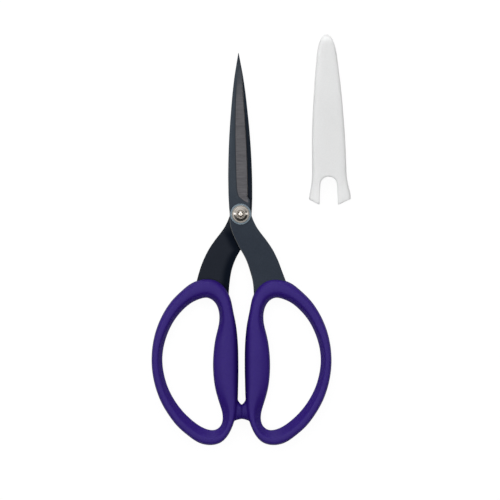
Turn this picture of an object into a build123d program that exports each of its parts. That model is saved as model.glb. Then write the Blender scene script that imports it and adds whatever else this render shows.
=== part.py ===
from build123d import *
import math
import os

# Fine-point craft scissors with padded bows, plus the loose blade guard that
# belongs to them.  Millimetres.  +Y runs towards the blade tips, +Z is up,
# away from the table.  The origin is on the pivot axis, in the plane of the
# pivot screw head's underside, which is also the table plane.  The scissors
# are modelled closed.

os.makedirs("parts", exist_ok=True)

# ---------------------------------------------------------------- dimensions
BLADE_T = 2.0            # blade and tang stock thickness
Z_REAR = 3.3             # underside of the rear blade
CENTRE_GAP = 0.2         # gap between the blades' inner faces
Z_FRONT = Z_REAR + BLADE_T + CENTRE_GAP       # underside of the front blade
Z_MID = Z_REAR + BLADE_T + CENTRE_GAP / 2     # middle plane of the assembly
Z_TOP = Z_FRONT + BLADE_T

BORE_R = 2.60            # running bore of the front blade on the nut barrel
BARREL_R = 2.55          # nut barrel
NUT_BORE_R = 1.55        # nut's inner bore
SHANK_R = 1.50           # screw shank
HEAD_R = 4.8             # screw head
HEAD_T = 2.2
NUT_FLANGE_R = 4.2
WASHER_R = 5.1           # clear front washer
WASHER_T = 0.5
FRONT_RUN = 0.03         # running clearance under the front washer

AXIS_TOP = 0.30          # X of the handles' centreline where they begin
AXIS_LEAN_H = 0.0035     # its lean further down, X per -Y
AXIS_LEAN = -0.0135      # lean of the blades' centreline, X per Y

GRIP_T_RING = 8.6        # thickness of the thin part of a bow
GRIP_T_BAR = 10.8        # thickness of the finger rest
CREST_SHIFT = 0.14       # extra outward shift of the crest at the bow's end
CORE_MARGIN = 1.35       # skin thickness beside the rigid core, outside
CORE_MARGIN_IN = 1.9     # and inside, where the skin slopes away
CORE_HALF_T = 1.9        # half the core's thickness
TANG_MARGIN = 2.1        # distance from the bow's edges to the buried tang

GUARD_WALL = 1.25
GUARD_H_MOUTH = 8.1      # outer height at the open end
GUARD_H_TIP = 6.0        # outer height at the closed end


def mid_x(y):
    """X of the centreline of the closed scissors at a given Y."""
    if y >= 0:
        return AXIS_LEAN * y
    if y > -26:
        return 0.0
    if y > -34:
        s = (-26 - y) / 8.0
        return AXIS_TOP * s * s * (3 - 2 * s)
    return AXIS_TOP + AXIS_LEAN_H * (-34 - y)


def handle_x(y):
    """X of the handles' centreline."""
    return AXIS_TOP + AXIS_LEAN_H * (-34 - y)


# ------------------------------------------------- half outlines (u from mid)
# Spine of a blade: half width from the centreline, tip to pivot.
SPINE = [(78.5, 0.0), (78.2, 0.12), (77.4, 0.26), (74.5, 0.78), (71.2, 1.36),
         (67.8, 1.95), (64.4, 2.44), (61.0, 2.89), (57.7, 3.28), (54.2, 3.63),
         (50.8, 3.95), (44.0, 4.57), (37.2, 5.07), (30.4, 5.45), (23.5, 5.70),
         (16.7, 5.83), (9.9, 5.80), (3.0, 5.55), (-0.4, 5.33)]
# Inner edge of a tang, from the pivot down to the handle.
TANG_IN = [(-5.33, -0.4), (-5.40, -3.1), (-5.15, -5.05), (-4.75, -7.0),
           (-4.15, -8.9), (-3.30, -10.9), (-2.38, -12.8), (-1.42, -14.8),
           (-0.40, -16.7), (0.72, -18.55), (1.75, -20.4), (2.96, -23.0),
           (4.02, -26.0), (4.83, -29.0), (5.45, -32.0), (5.85, -35.0),
           (6.05, -38.3)]
# Outer edge of a tang.
TANG_OUT = [(4.80, 0.6), (6.2, -3.1), (7.80, -6.3), (9.66, -9.0),
            (12.0, -12.0), (14.0, -14.8), (15.72, -17.5), (17.25, -20.5),
            (18.62, -23.6), (19.80, -26.9), (20.85, -30.0), (21.5, -32.0)]
# Cutting edge of a blade, tip down to the ricasso.
EDGE = [(0.0, 78.5), (0.12, 78.2), (0.26, 77.4), (0.66, 74.5), (1.16, 71.2),
        (1.56, 67.9), (1.90, 62.0), (2.22, 57.0), (2.54, 51.3), (2.94, 43.5),
        (3.32, 35.8), (3.56, 28.0), (3.69, 20.2), (3.74, 12.4), (3.66, 9.6)]
RICASSO = [(3.50, 8.7), (3.75, 8.0), (4.35, 7.1), (4.58, 6.4), (4.62, 4.0)]
# Tang inside the handle, from the outer side round the top of the bow and
# down the finger rest, back up to the inner edge.
TANG_BURIED = [(22.5, -35.2), (21.6, -37.6), (19.3, -38.7), (15.05, -38.9),
               (11.3, -41.8), (9.0, -46.9), (8.85, -53.2), (8.7, -58.8),
               (7.6, -60.3), (5.6, -60.3), (4.7, -58.8), (4.9, -53.1),
               (6.05, -46.6), (6.25, -42.0)]
TANG_KEY_HOLES = [(6.75, -56.0), (7.0, -50.5)]

# Bow stations, in handle coordinates (x from the handles' plane of symmetry):
# outer point, inner point, section thickness.
BOW = [
    (1.50, -72.06, 13.88, -71.92, 10.8), (1.52, -78.02, 13.68, -78.52, 10.7),
    (1.66, -84.09, 12.78, -84.98, 10.4), (1.90, -90.30, 11.05, -91.26, 10.0),
    (2.80, -97.15, 9.45, -96.97, 9.5), (5.02, -104.37, 9.85, -101.97, 9.5),
    (10.35, -111.08, 12.97, -104.78, 9.6), (19.07, -111.78, 17.28, -104.38, 9.5),
    (25.83, -107.90, 21.54, -102.14, 9.2), (31.02, -103.40, 25.99, -98.50, 8.9),
    (35.18, -98.14, 29.95, -94.20, 8.7), (38.68, -92.36, 33.20, -89.45, 8.6),
    (41.26, -86.15, 35.80, -84.20, 8.6), (42.93, -79.67, 37.52, -78.59, 8.6),
    (43.70, -73.00, 38.40, -72.77, 8.6), (43.52, -66.30, 38.20, -66.87, 8.6),
    (42.42, -59.68, 36.93, -61.13, 8.6), (40.36, -53.28, 34.83, -55.71, 8.7),
    (37.34, -47.18, 31.94, -50.74, 8.8), (33.32, -41.54, 28.25, -46.44, 9.0),
    (28.22, -36.60, 23.92, -42.97, 9.3), (21.94, -32.57, 19.06, -40.94, 9.6),
    (12.50, -32.30, 15.73, -40.92, 9.8), (6.15, -38.80, 12.78, -43.06, 10.0),
    (4.10, -46.32, 10.95, -47.49, 10.2), (2.75, -53.12, 10.96, -53.19, 10.4),
    (1.95, -59.64, 12.38, -59.23, 10.6), (1.58, -65.99, 13.42, -65.43, 10.8),
]
# Upper half of a bow's section, from the inner edge (-1) to the outer (+1):
# RING on the narrow part of the bow, BAR on the wide finger rest.
SECTION_RING = [(-1.0, 0.0), (-0.985, 0.11), (-0.93, 0.22), (-0.80, 0.345),
                (-0.60, 0.52), (-0.40, 0.70), (-0.21, 0.86), (-0.04, 0.955),
                (0.16, 0.995), (0.40, 0.99), (0.64, 0.94), (0.84, 0.80),
                (0.965, 0.48), (1.0, 0.0)]
SECTION_BAR = [(-1.0, 0.0), (-0.985, 0.22), (-0.94, 0.42), (-0.85, 0.58),
               (-0.70, 0.71), (-0.50, 0.83), (-0.30, 0.925), (-0.10, 0.98),
               (0.12, 1.0), (0.34, 0.975), (0.55, 0.90), (0.75, 0.74),
               (0.93, 0.44), (1.0, 0.0)]
# Stop boss rows: distance from the seam, top Y, bottom Y, half height.
STOP = [(0.06, -92.75, -99.4, 2.45), (0.3, -92.5, -99.5, 2.75),
        (0.8, -92.05, -99.6, 3.0), (1.25, -91.4, -99.65, 3.1),
        (1.9, -90.5, -99.85, 2.85), (2.7, -89.5, -100.2, 2.6),
        (4.6, -89.0, -100.7, 2.6)]


def blade_pt(u, y, side):
    """side +1 is the front half, -1 the rear half (its mirror image)."""
    return (mid_x(y) + side * u, y)


def spline(points, z):
    return Edge.make_spline([Vector(x, y, z) for x, y in points])


def polyline_edges(points, z):
    return [Edge.make_line(Vector(*a, z), Vector(*b, z))
            for a, b in zip(points[:-1], points[1:])]


def up(face, h):
    return Solid.extrude(face, Vector(0, 0, h))


def one(shape):
    """Single solid out of a boolean result."""
    s = shape.solids()
    s.sort(key=lambda v: v.volume)
    return s[-1]


# ----------------------------------------------------------------- the blades
def blade(side, z0):
    m = lambda pts: [blade_pt(u, y, side) for u, y in pts]
    spine = m([(-h, y) for y, h in SPINE])
    tin = m(TANG_IN)
    tout = m(TANG_OUT)
    edge = m(EDGE)
    ric = m(RICASSO)
    buried = m(TANG_BURIED)
    ric = [edge[-1]] + ric + [tout[0]]
    buried = [tout[-1]] + buried + [tin[-1]]
    edges = [spline(spine, z0), spline(tin, z0)]
    edges += polyline_edges(buried, z0)
    edges.append(spline(tout, z0))
    edges += polyline_edges(ric, z0)
    edges.append(spline(edge, z0))
    body = up(Face(Wire(edges)), BLADE_T)

    outer = z0 + BLADE_T if side > 0 else z0      # face away from the other blade
    inner = z0 if side > 0 else z0 + BLADE_T
    s = side

    def cutter(sections):
        wires = []
        for y, prof in sections:
            wires.append(Wire.make_polygon(
                [Vector(blade_pt(u, y, side)[0], y, outer - s * d)
                 for u, d in prof], close=True))
        return Solid.make_loft(wires, ruled=True)

    # Distal taper: the stock thins evenly towards the point.
    def drop(y):
        return max(0.0, (y - 24.0) / 54.0) * 0.95

    taper = cutter([(24.0, [(-9, 0.0), (9, 0.0), (9, -2), (-9, -2)]),
                    (80.0, [(-9, 0.985), (9, 0.985), (9, -2), (-9, -2)])])
    body = one(body - taper)

    # Ground face: from the ridge down to the cutting edge, running out
    # above the pivot.
    full = BLADE_T - 0.15
    grind = [(5.6, 3.35, -0.05), (6.6, 1.45, 0.35), (7.6, 0.35, 0.8),
             (8.6, -0.7, 1.2), (10.5, -1.3, 1.65), (12.4, -1.62, full),
             (24.0, -1.9, full), (36.0, -2.0, full), (44.0, -1.9, full),
             (54.0, -1.6, full), (66.0, -0.9, full), (80.0, 0.0, full)]
    rows = []
    for y, ridge, depth in grind:
        e = edge_u(y)
        rows.append((y, [(ridge, drop(y)), (e, depth), (e + 4, depth),
                         (e + 4, -2), (ridge, -2)]))
    body = one(body - cutter(rows))

    # Narrow bevel along the spine.
    bevel = []
    for y, w, d in [(19.0, 0.9, 0.02), (26.0, 1.6, 0.18), (36.0, 1.5, 0.34),
                    (46.0, 0.9, 0.34), (53.0, 0.25, 0.10)]:
        h = spine_h(y)
        bevel.append((y, [(-h - 2, drop(y) + d * (1 + 2 / w)),
                          (-h + w, drop(y)), (-h + w, -2), (-h - 2, -2)]))
    body = one(body - cutter(bevel))

    # Pivot bore.
    r = BORE_R if side > 0 else BARREL_R
    body = one(body - Pos(0, 0, z0 + BLADE_T / 2) * Cylinder(r, BLADE_T + 2))
    # Keying holes in the buried tang.
    for u, y in TANG_KEY_HOLES:
        x, y = blade_pt(u, y, side)
        body = one(body - Pos(x, y, z0 + BLADE_T / 2) * Cylinder(1.0, BLADE_T + 2))
    return body


def interp(table, y):
    t = sorted(table)
    if y <= t[0][0]:
        return t[0][1]
    for (a, va), (b, vb) in zip(t[:-1], t[1:]):
        if y <= b:
            return va + (vb - va) * (y - a) / (b - a)
    return t[-1][1]


def edge_u(y):
    return interp([(yy, uu) for uu, yy in EDGE], y) if y >= 9.6 else 3.74


def spine_h(y):
    return interp(SPINE, y)


# ---------------------------------------------------------------- the handles
def smooth(t):
    t = min(1.0, max(0.0, t))
    return t * t * (3 - 2 * t)


def bow_section(st, side):
    xo, yo, xi, yi, t = st
    cx, cy = (xo + xi) / 2, (yo + yi) / 2
    hx, hy = (xo - xi) / 2, (yo - yi) / 2
    wide = smooth((2 * math.hypot(hx, hy) - 6.5) / 5.5)
    k = CREST_SHIFT * smooth((-88.0 - cy) / 14.0)
    half_row = [((1 - wide) * ur + wide * ub, (1 - wide) * zr + wide * zb)
                for (ur, zr), (ub, zb) in zip(SECTION_RING, SECTION_BAR)]
    row = half_row + [(u, -z) for u, z in half_row[-2:0:-1]]
    pts = []
    for u, z in row:
        u = u + k * (1 - u * u)
        y = cy + hy * u
        x = handle_x(y) + side * (cx + hx * u)
        pts.append(Vector(x, y, Z_MID + z * t / 2))
    return Wire(Edge.make_spline(pts, periodic=True))


def bow_fine():
    """Two sections per station, on a periodic Catmull-Rom curve."""
    n = len(BOW)
    out = []
    for i in range(n):
        p0, p1, p2, p3 = (BOW[(i + k) % n] for k in (-1, 0, 1, 2))
        out.append(p1)
        out.append(tuple((-a + 9 * b + 9 * c - d) / 16
                         for a, b, c, d in zip(p0, p1, p2, p3)))
    return out


def bow_solid(side):
    table = bow_fine()
    n = len(table)
    cuts = [0, 14, 28, 42, 56]
    spans = []
    for a, b in zip(cuts[:-1], cuts[1:]):
        wires = [bow_section(table[k % n], side) for k in range(a, b + 1)]
        spans.append(Solid.make_loft(wires, ruled=False))
    ring = spans[0]
    for s in spans[1:]:
        ring = ring + s
    return one(ring)


def stop_boss(side):
    """Short rounded boss that meets its twin between the bows."""
    xs = handle_x(-96.0)
    wires = []
    for x, top, bottom, rz in STOP:
        yc, ry = (top + bottom) / 2, (top - bottom) / 2
        pl = Plane(origin=(xs + side * x, yc, Z_MID),
                   x_dir=(0, 1, 0), z_dir=(1, 0, 0))
        wires.append(Wire(Edge.make_ellipse(ry, rz, pl)))
    return Solid.make_loft(wires, ruled=True)


def core(side):
    outer, inner = [], []
    for xo, yo, xi, yi, _ in BOW:
        w = math.hypot(xo - xi, yo - yi)
        dx, dy = (xi - xo) / w, (yi - yo) / w
        outer.append((handle_x(yo) + side * (xo + dx * CORE_MARGIN),
                      yo + dy * CORE_MARGIN))
        inner.append((handle_x(yi) + side * (xi - dx * CORE_MARGIN_IN),
                      yi - dy * CORE_MARGIN_IN))
    z = Z_MID - CORE_HALF_T
    ow = Wire(Edge.make_spline([Vector(x, y, z) for x, y in outer], periodic=True))
    iw = Wire(Edge.make_spline([Vector(x, y, z) for x, y in inner], periodic=True))
    return one(up(Face(ow), 2 * CORE_HALF_T) - up(Face(iw), 2 * CORE_HALF_T))


def half(side, z0):
    steel = blade(side, z0)
    rigid_full = core(side)
    rigid = one(rigid_full - steel)
    shell = one(bow_solid(side) + stop_boss(side))
    grip = one(shell - rigid_full)
    grip = one(grip - steel)
    return steel, rigid, grip


# ------------------------------------------------------------ the pivot stack
def revolved(profile):
    pts = [Vector(r, 0, z) for r, z in profile]
    return Solid.revolve(Face(Wire.make_polygon(pts, close=True)), 360, Axis.Z)


def disc_ring(r_in, r_out, z0, z1, c=0.0):
    if c:
        return revolved([(r_in, z0), (r_out - c, z0), (r_out, z0 + c),
                         (r_out, z1 - c), (r_out - c, z1), (r_in, z1)])
    return revolved([(r_in, z0), (r_out, z0), (r_out, z1), (r_in, z1)])


def pivot_screw():
    s = revolved([(0, 0), (HEAD_R - 0.5, 0), (HEAD_R, 0.5), (HEAD_R, HEAD_T - 0.3),
                  (HEAD_R - 0.3, HEAD_T), (SHANK_R, HEAD_T), (SHANK_R, 8.74),
                  (1.40, 8.97), (1.12, 9.34), (0.75, 9.52), (0.38, 9.62), (0, 9.65)])
    # Closed-ended coin slot in the head.
    slot = Pos(0, 0, 0.45) * Box(5.4, 1.2, 0.9)
    return one(s - slot)


def pivot_nut():
    zt = Z_TOP + FRONT_RUN + WASHER_T
    return revolved([(NUT_BORE_R, 3.0), (BARREL_R - 0.25, 3.0), (BARREL_R, 3.25),
                     (BARREL_R, zt), (NUT_FLANGE_R - 0.15, zt),
                     (NUT_FLANGE_R, zt + 0.15), (NUT_FLANGE_R, zt + 0.35),
                     (4.05, zt + 0.47), (3.58, zt + 0.52), (3.38, zt + 0.60),
                     (2.16, zt + 1.14), (1.96, zt + 1.12), (1.82, zt + 0.70),
                     (NUT_BORE_R, zt + 0.66)])


def build_pivot():
    zt = Z_TOP + FRONT_RUN
    return {
        "pivot_screw": pivot_screw(),
        "pivot_nut": pivot_nut(),
        "front_washer": disc_ring(BARREL_R, WASHER_R, zt, zt + WASHER_T, 0.12),
        "centre_washer": disc_ring(BARREL_R, 4.6, Z_REAR + BLADE_T,
                                   Z_FRONT - 0.03),
        "rear_washer": disc_ring(BARREL_R + 0.05, 5.0, 2.78, Z_REAR, 0.1),
        "spring_washer": revolved([(1.75, 2.22), (2.1, 2.22), (4.4, 2.48),
                                   (4.4, 2.76), (4.1, 2.76), (1.75, 2.5)]),
    }


# ------------------------------------------------------------- the blade guard
# Stations: y, left x, right x at rest beside the scissors.
GUARD = [(1.0, 33.0, 53.9), (4.0, 33.05, 53.95), (7.2, 33.2, 53.65),
         (9.75, 33.5, 53.35), (12.3, 34.05, 52.78), (14.9, 34.42, 52.12),
         (17.5, 34.62, 51.65), (20.1, 34.68, 51.46), (25.4, 34.66, 51.27),
         (33.0, 34.62, 50.95), (40.5, 34.68, 50.52), (48.5, 35.0, 49.92),
         (56.5, 35.42, 49.22), (64.5, 35.93, 48.36), (72.0, 36.55, 47.42),
         (77.5, 37.05, 46.70), (80.5, 37.5, 46.15), (83.0, 38.1, 45.42),
         (85.2, 38.95, 44.45), (86.6, 40.0, 43.35), (87.3, 40.8, 42.4)]
NOTCH_HALF = 4.35
NOTCH_TOP = 18.2
GUARD_AXIS_X = 42.80     # notch centreline at its root
GUARD_Y0, GUARD_Y1 = 5.0, 87.4


def guard_height(y):
    s = (y - GUARD_Y0) / (GUARD_Y1 - GUARD_Y0)
    return GUARD_H_MOUTH + (GUARD_H_TIP - GUARD_H_MOUTH) * max(0.0, s)


def guard():
    def rounded(xl, xr, y, z0, z1, r):
        w, h = xr - xl, z1 - z0
        r = min(r, w * 0.48, h * 0.46)
        pl = Plane(origin=((xl + xr) / 2, y, (z0 + z1) / 2),
                   x_dir=(1, 0, 0), z_dir=(0, -1, 0))
        return (pl * RectangleRounded(w, h, r)).faces()[0].outer_wire()

    outer, inner = [], []
    for y, xl, xr in GUARD:
        h = guard_height(y)
        if y > 84:
            k = (y - 84) / 3.3
            z0, z1 = 0.0, h - 2.6 * k * k
        else:
            z0, z1 = 0.0, h
        outer.append(rounded(xl, xr, y, z0, z1, 2.6))
        if y < 83.5:
            inner.append(rounded(xl + GUARD_WALL, xr - GUARD_WALL, y,
                                 GUARD_WALL, h - GUARD_WALL, 1.6))
    shell = Solid.make_loft(outer, ruled=True)
    cavity = Solid.make_loft(inner, ruled=True)
    shell = one(shell - cavity)

    # Notch that straddles the pivot, through both faces.
    n = NOTCH_HALF
    x = GUARD_AXIS_X
    cut = Box(2 * n, 30, 30, align=(Align.CENTER, Align.MAX, Align.CENTER))
    cut = Pos(x, NOTCH_TOP - 4.0, 5) * cut
    dome = Pos(x, NOTCH_TOP - 4.0, 5) * Cylinder(4.0, 30)
    shell = one(shell - cut)
    shell = one(shell - dome)
    # Slanted ends of the two feet.
    left = Wire.make_polygon([Vector(30, 8.6, -5), Vector(38.2, 4.55, -5),
                              Vector(40, 3.5, -5), Vector(40, -5, -5),
                              Vector(30, -5, -5)], close=True)
    right = Wire.make_polygon([Vector(57, 9.0, -5), Vector(48.4, 4.9, -5),
                               Vector(45, 3.2, -5), Vector(45, -5, -5),
                               Vector(57, -5, -5)], close=True)
    shell = one(shell - up(Face(left), 30))
    shell = one(shell - up(Face(right), 30))
    return shell


# -------------------------------------------------------------------- assembly
nodes = {}
nodes["front_blade"], nodes["front_handle_core"], nodes["front_handle_grip"] = \
    half(+1, Z_FRONT)
nodes["rear_blade"], nodes["rear_handle_core"], nodes["rear_handle_grip"] = \
    half(-1, Z_REAR)
nodes.update(build_pivot())
nodes["blade_guard"] = guard()

for name, shape in nodes.items():
    shape.label = name
    export_step(shape, "parts/" + name + ".step")
    print(name, round(shape.volume, 2), shape.is_valid)
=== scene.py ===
import math

import bmesh
import bpy
import numpy as np
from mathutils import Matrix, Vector
from mathutils.bvhtree import BVHTree


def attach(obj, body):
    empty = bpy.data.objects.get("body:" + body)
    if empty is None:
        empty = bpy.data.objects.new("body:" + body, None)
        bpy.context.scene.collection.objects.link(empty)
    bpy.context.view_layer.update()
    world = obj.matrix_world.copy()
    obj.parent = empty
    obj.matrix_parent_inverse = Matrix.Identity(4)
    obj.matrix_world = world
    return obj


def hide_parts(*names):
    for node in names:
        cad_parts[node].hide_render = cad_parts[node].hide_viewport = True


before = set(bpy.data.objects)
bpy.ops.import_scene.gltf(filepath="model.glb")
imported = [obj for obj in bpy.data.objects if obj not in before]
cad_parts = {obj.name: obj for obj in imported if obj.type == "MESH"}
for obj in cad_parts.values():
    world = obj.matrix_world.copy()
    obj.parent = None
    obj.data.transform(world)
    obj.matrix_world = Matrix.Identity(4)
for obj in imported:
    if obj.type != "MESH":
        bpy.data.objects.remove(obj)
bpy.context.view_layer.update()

MM = 0.001

# ------------------------------------------------------------------ the design
# Same driving numbers as the CAD, in millimetres.
BLADE_T = 2.0
Z_REAR = 3.3
CENTRE_GAP = 0.2
Z_FRONT = Z_REAR + BLADE_T + CENTRE_GAP
Z_MID = Z_REAR + BLADE_T + CENTRE_GAP / 2
Z_TOP = Z_FRONT + BLADE_T
BORE_R, BARREL_R, NUT_BORE_R, SHANK_R = 2.60, 2.55, 1.55, 1.50
AXIS_TOP, AXIS_LEAN_H, AXIS_LEAN, STOP_GAP = 0.30, 0.0035, -0.0135, 0.03

SPINE = [(78.5, 0.0), (78.2, 0.12), (77.4, 0.26), (74.5, 0.78), (71.2, 1.36),
         (67.8, 1.95), (64.4, 2.44), (61.0, 2.89), (57.7, 3.28), (54.2, 3.63),
         (50.8, 3.95), (44.0, 4.57), (37.2, 5.07), (30.4, 5.45), (23.5, 5.70),
         (16.7, 5.83), (9.9, 5.80), (3.0, 5.55), (-0.4, 5.33)]
TANG_IN = [(-5.33, -0.4), (-5.40, -3.1), (-5.15, -5.05), (-4.75, -7.0),
           (-4.15, -8.9), (-3.30, -10.9), (-2.38, -12.8), (-1.42, -14.8),
           (-0.40, -16.7), (0.72, -18.55), (1.75, -20.4), (2.96, -23.0),
           (4.02, -26.0), (4.83, -29.0), (5.45, -32.0), (5.85, -35.0),
           (6.05, -38.3)]
TANG_OUT = [(4.80, 0.6), (6.2, -3.1), (7.80, -6.3), (9.66, -9.0),
            (12.0, -12.0), (14.0, -14.8), (15.72, -17.5), (17.25, -20.5),
            (18.62, -23.6), (19.80, -26.9), (20.85, -30.0), (21.5, -32.0)]
EDGE = [(0.0, 78.5), (0.12, 78.2), (0.26, 77.4), (0.66, 74.5), (1.16, 71.2),
        (1.56, 67.9), (1.90, 62.0), (2.22, 57.0), (2.54, 51.3), (2.94, 43.5),
        (3.32, 35.8), (3.56, 28.0), (3.69, 20.2), (3.74, 12.4), (3.66, 9.6)]
RICASSO = [(3.50, 8.7), (3.75, 8.0), (4.35, 7.1), (4.58, 6.4), (4.62, 4.0)]
BURIED_R = [(22.5, -35.2), (21.6, -37.6), (19.3, -38.7), (15.05, -38.9),
            (11.3, -41.8), (9.0, -46.9), (8.85, -53.2), (8.7, -58.8),
            (7.6, -60.3)]
BURIED_L = [(6.25, -42.0), (6.05, -46.6), (4.9, -53.1), (4.7, -58.8),
            (5.6, -60.3)]
KEY_HOLES = [(6.75, -56.0), (7.0, -50.5)]
RIDGE = [(5.6, 3.35), (6.6, 1.45), (7.6, 0.35), (8.6, -0.7), (10.5, -1.3),
         (12.4, -1.62), (24.0, -1.9), (36.0, -2.0), (44.0, -1.9),
         (54.0, -1.6), (66.0, -0.9), (78.5, -0.05)]

BOW = [
    (1.50, -72.06, 13.88, -71.92, 10.8), (1.52, -78.02, 13.68, -78.52, 10.7),
    (1.66, -84.09, 12.78, -84.98, 10.4), (1.90, -90.30, 11.05, -91.26, 10.0),
    (2.80, -97.15, 9.45, -96.97, 9.5), (5.02, -104.37, 9.85, -101.97, 9.5),
    (10.35, -111.08, 12.97, -104.78, 9.6), (19.07, -111.78, 17.28, -104.38, 9.5),
    (25.83, -107.90, 21.54, -102.14, 9.2), (31.02, -103.40, 25.99, -98.50, 8.9),
    (35.18, -98.14, 29.95, -94.20, 8.7), (38.68, -92.36, 33.20, -89.45, 8.6),
    (41.26, -86.15, 35.80, -84.20, 8.6), (42.93, -79.67, 37.52, -78.59, 8.6),
    (43.70, -73.00, 38.40, -72.77, 8.6), (43.52, -66.30, 38.20, -66.87, 8.6),
    (42.42, -59.68, 36.93, -61.13, 8.6), (40.36, -53.28, 34.83, -55.71, 8.7),
    (37.34, -47.18, 31.94, -50.74, 8.8), (33.32, -41.54, 28.25, -46.44, 9.0),
    (28.22, -36.60, 23.92, -42.97, 9.3), (21.94, -32.57, 19.06, -40.94, 9.6),
    (12.50, -32.30, 15.73, -40.92, 9.8), (6.15, -38.80, 12.78, -43.06, 10.0),
    (4.10, -46.32, 10.95, -47.49, 10.2), (2.75, -53.12, 10.96, -53.19, 10.4),
    (1.95, -59.64, 12.38, -59.23, 10.6), (1.58, -65.99, 13.42, -65.43, 10.8),
]
# Upper half of a bow's section: narrow part and finger rest.
SECTION_RING = [(-1.0, 0.0), (-0.985, 0.11), (-0.93, 0.22), (-0.80, 0.345),
                (-0.60, 0.52), (-0.40, 0.70), (-0.21, 0.86), (-0.04, 0.955),
                (0.16, 0.995), (0.40, 0.99), (0.64, 0.94), (0.84, 0.80),
                (0.965, 0.48), (1.0, 0.0)]
SECTION_BAR = [(-1.0, 0.0), (-0.985, 0.22), (-0.94, 0.42), (-0.85, 0.58),
               (-0.70, 0.71), (-0.50, 0.83), (-0.30, 0.925), (-0.10, 0.98),
               (0.12, 1.0), (0.34, 0.975), (0.55, 0.90), (0.75, 0.74),
               (0.93, 0.44), (1.0, 0.0)]
STOP = [(0.06, -92.75, -99.4, 2.45), (0.3, -92.5, -99.5, 2.75),
        (0.8, -92.05, -99.6, 3.0), (1.25, -91.4, -99.65, 3.1),
        (1.9, -90.5, -99.85, 2.85), (2.7, -89.5, -100.2, 2.6),
        (4.6, -89.0, -100.7, 2.6)]

GUARD_WALL, GUARD_H_MOUTH, GUARD_H_TIP = 1.25, 8.1, 6.0
GUARD = [(1.0, 33.0, 53.9), (4.0, 33.05, 53.95), (7.2, 33.2, 53.65),
         (9.75, 33.5, 53.35), (12.3, 34.05, 52.78), (14.9, 34.42, 52.12),
         (17.5, 34.62, 51.65), (20.1, 34.68, 51.46), (25.4, 34.66, 51.27),
         (33.0, 34.62, 50.95), (40.5, 34.68, 50.52), (48.5, 35.0, 49.92),
         (56.5, 35.42, 49.22), (64.5, 35.93, 48.36), (72.0, 36.55, 47.42),
         (77.5, 37.05, 46.70), (80.5, 37.5, 46.15), (83.0, 38.1, 45.42),
         (85.2, 38.95, 44.45), (86.6, 40.0, 43.35), (87.3, 40.8, 42.4)]
NOTCH_HALF, NOTCH_TOP, GUARD_AXIS_X = 4.35, 18.2, 42.80
GUARD_Y0, GUARD_Y1 = 5.0, 87.4


# ------------------------------------------------------------------- maths
def smooth01(t):
    t = np.clip(t, 0, 1)
    return t * t * (3 - 2 * t)


def pchip(xs, ys):
    """Monotone cubic through the points; returns a vectorised function."""
    xs, ys = np.asarray(xs, float), np.asarray(ys, float)
    o = np.argsort(xs)
    xs, ys = xs[o], ys[o]
    h = np.diff(xs)
    d = np.diff(ys) / h
    m = np.zeros_like(xs)
    m[0], m[-1] = d[0], d[-1]
    for i in range(1, len(xs) - 1):
        if d[i - 1] * d[i] > 0:
            w1, w2 = 2 * h[i] + h[i - 1], h[i] + 2 * h[i - 1]
            m[i] = (w1 + w2) / (w1 / d[i - 1] + w2 / d[i])

    def f(q):
        q = np.asarray(q, float)
        i = np.clip(np.searchsorted(xs, q, side="right") - 1, 0, len(h) - 1)
        t = np.clip((q - xs[i]) / h[i], 0, 1)
        t2, t3 = t * t, t * t * t
        return ((2 * t3 - 3 * t2 + 1) * ys[i] + (t3 - 2 * t2 + t) * h[i] * m[i]
                + (-2 * t3 + 3 * t2) * ys[i + 1] + (t3 - t2) * h[i] * m[i + 1])
    return f


def periodic_spline(table, count):
    """Uniform periodic cubic through the rows of table, at count points."""
    p = np.asarray(table, float)
    n = len(p)
    a = np.zeros((n, n))
    for i in range(n):
        a[i, i] = 4
        a[i, (i + 1) % n] = 1
        a[i, (i - 1) % n] = 1
    rhs = 3 * (np.roll(p, -1, 0) - np.roll(p, 1, 0))
    m = np.linalg.solve(a, rhs)
    q = np.arange(count) * n / count
    i = q.astype(int)
    t = (q - i)[:, None]
    j = (i + 1) % n
    t2, t3 = t * t, t * t * t
    return ((2 * t3 - 3 * t2 + 1) * p[i] + (t3 - 2 * t2 + t) * m[i]
            + (-2 * t3 + 3 * t2) * p[j] + (t3 - t2) * m[j])


def mid_x(y):
    y = np.asarray(y, float)
    s = smooth01((-26 - y) / 8.0)
    return np.where(y >= 0, AXIS_LEAN * y,
                    np.where(y > -34, AXIS_TOP * s, handle_x(y)))


def handle_x(y):
    return AXIS_TOP + AXIS_LEAN_H * (-34 - np.asarray(y, float))


# ------------------------------------------------------------------ mesh tools
def new_object(name, verts, faces, sharp_deg=38.0):
    me = bpy.data.meshes.new(name)
    me.from_pydata([tuple(v) for v in (np.asarray(verts) * MM)], [],
                   [tuple(int(i) for i in f) for f in faces])
    me.validate()
    ob = bpy.data.objects.new(name, me)
    bpy.context.scene.collection.objects.link(ob)
    tidy(ob, sharp_deg)
    return ob


def tidy(ob, sharp_deg=38.0, merge=2e-6):
    bm = bmesh.new()
    bm.from_mesh(ob.data)
    bmesh.ops.remove_doubles(bm, verts=bm.verts, dist=merge)
    bmesh.ops.dissolve_degenerate(bm, dist=1e-6, edges=bm.edges)
    bmesh.ops.recalc_face_normals(bm, faces=bm.faces)
    lim = math.radians(sharp_deg)
    for f in bm.faces:
        f.smooth = True
    for e in bm.edges:
        e.smooth = not (e.is_manifold and e.calc_face_angle(0.0) > lim)
    bm.to_mesh(ob.data)
    bm.free()
    ob.data.update()


def bake_modifiers(ob):
    dg = bpy.context.evaluated_depsgraph_get()
    me = bpy.data.meshes.new_from_object(ob.evaluated_get(dg))
    old = ob.data
    ob.modifiers.clear()
    ob.data = me
    bpy.data.meshes.remove(old)


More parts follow.
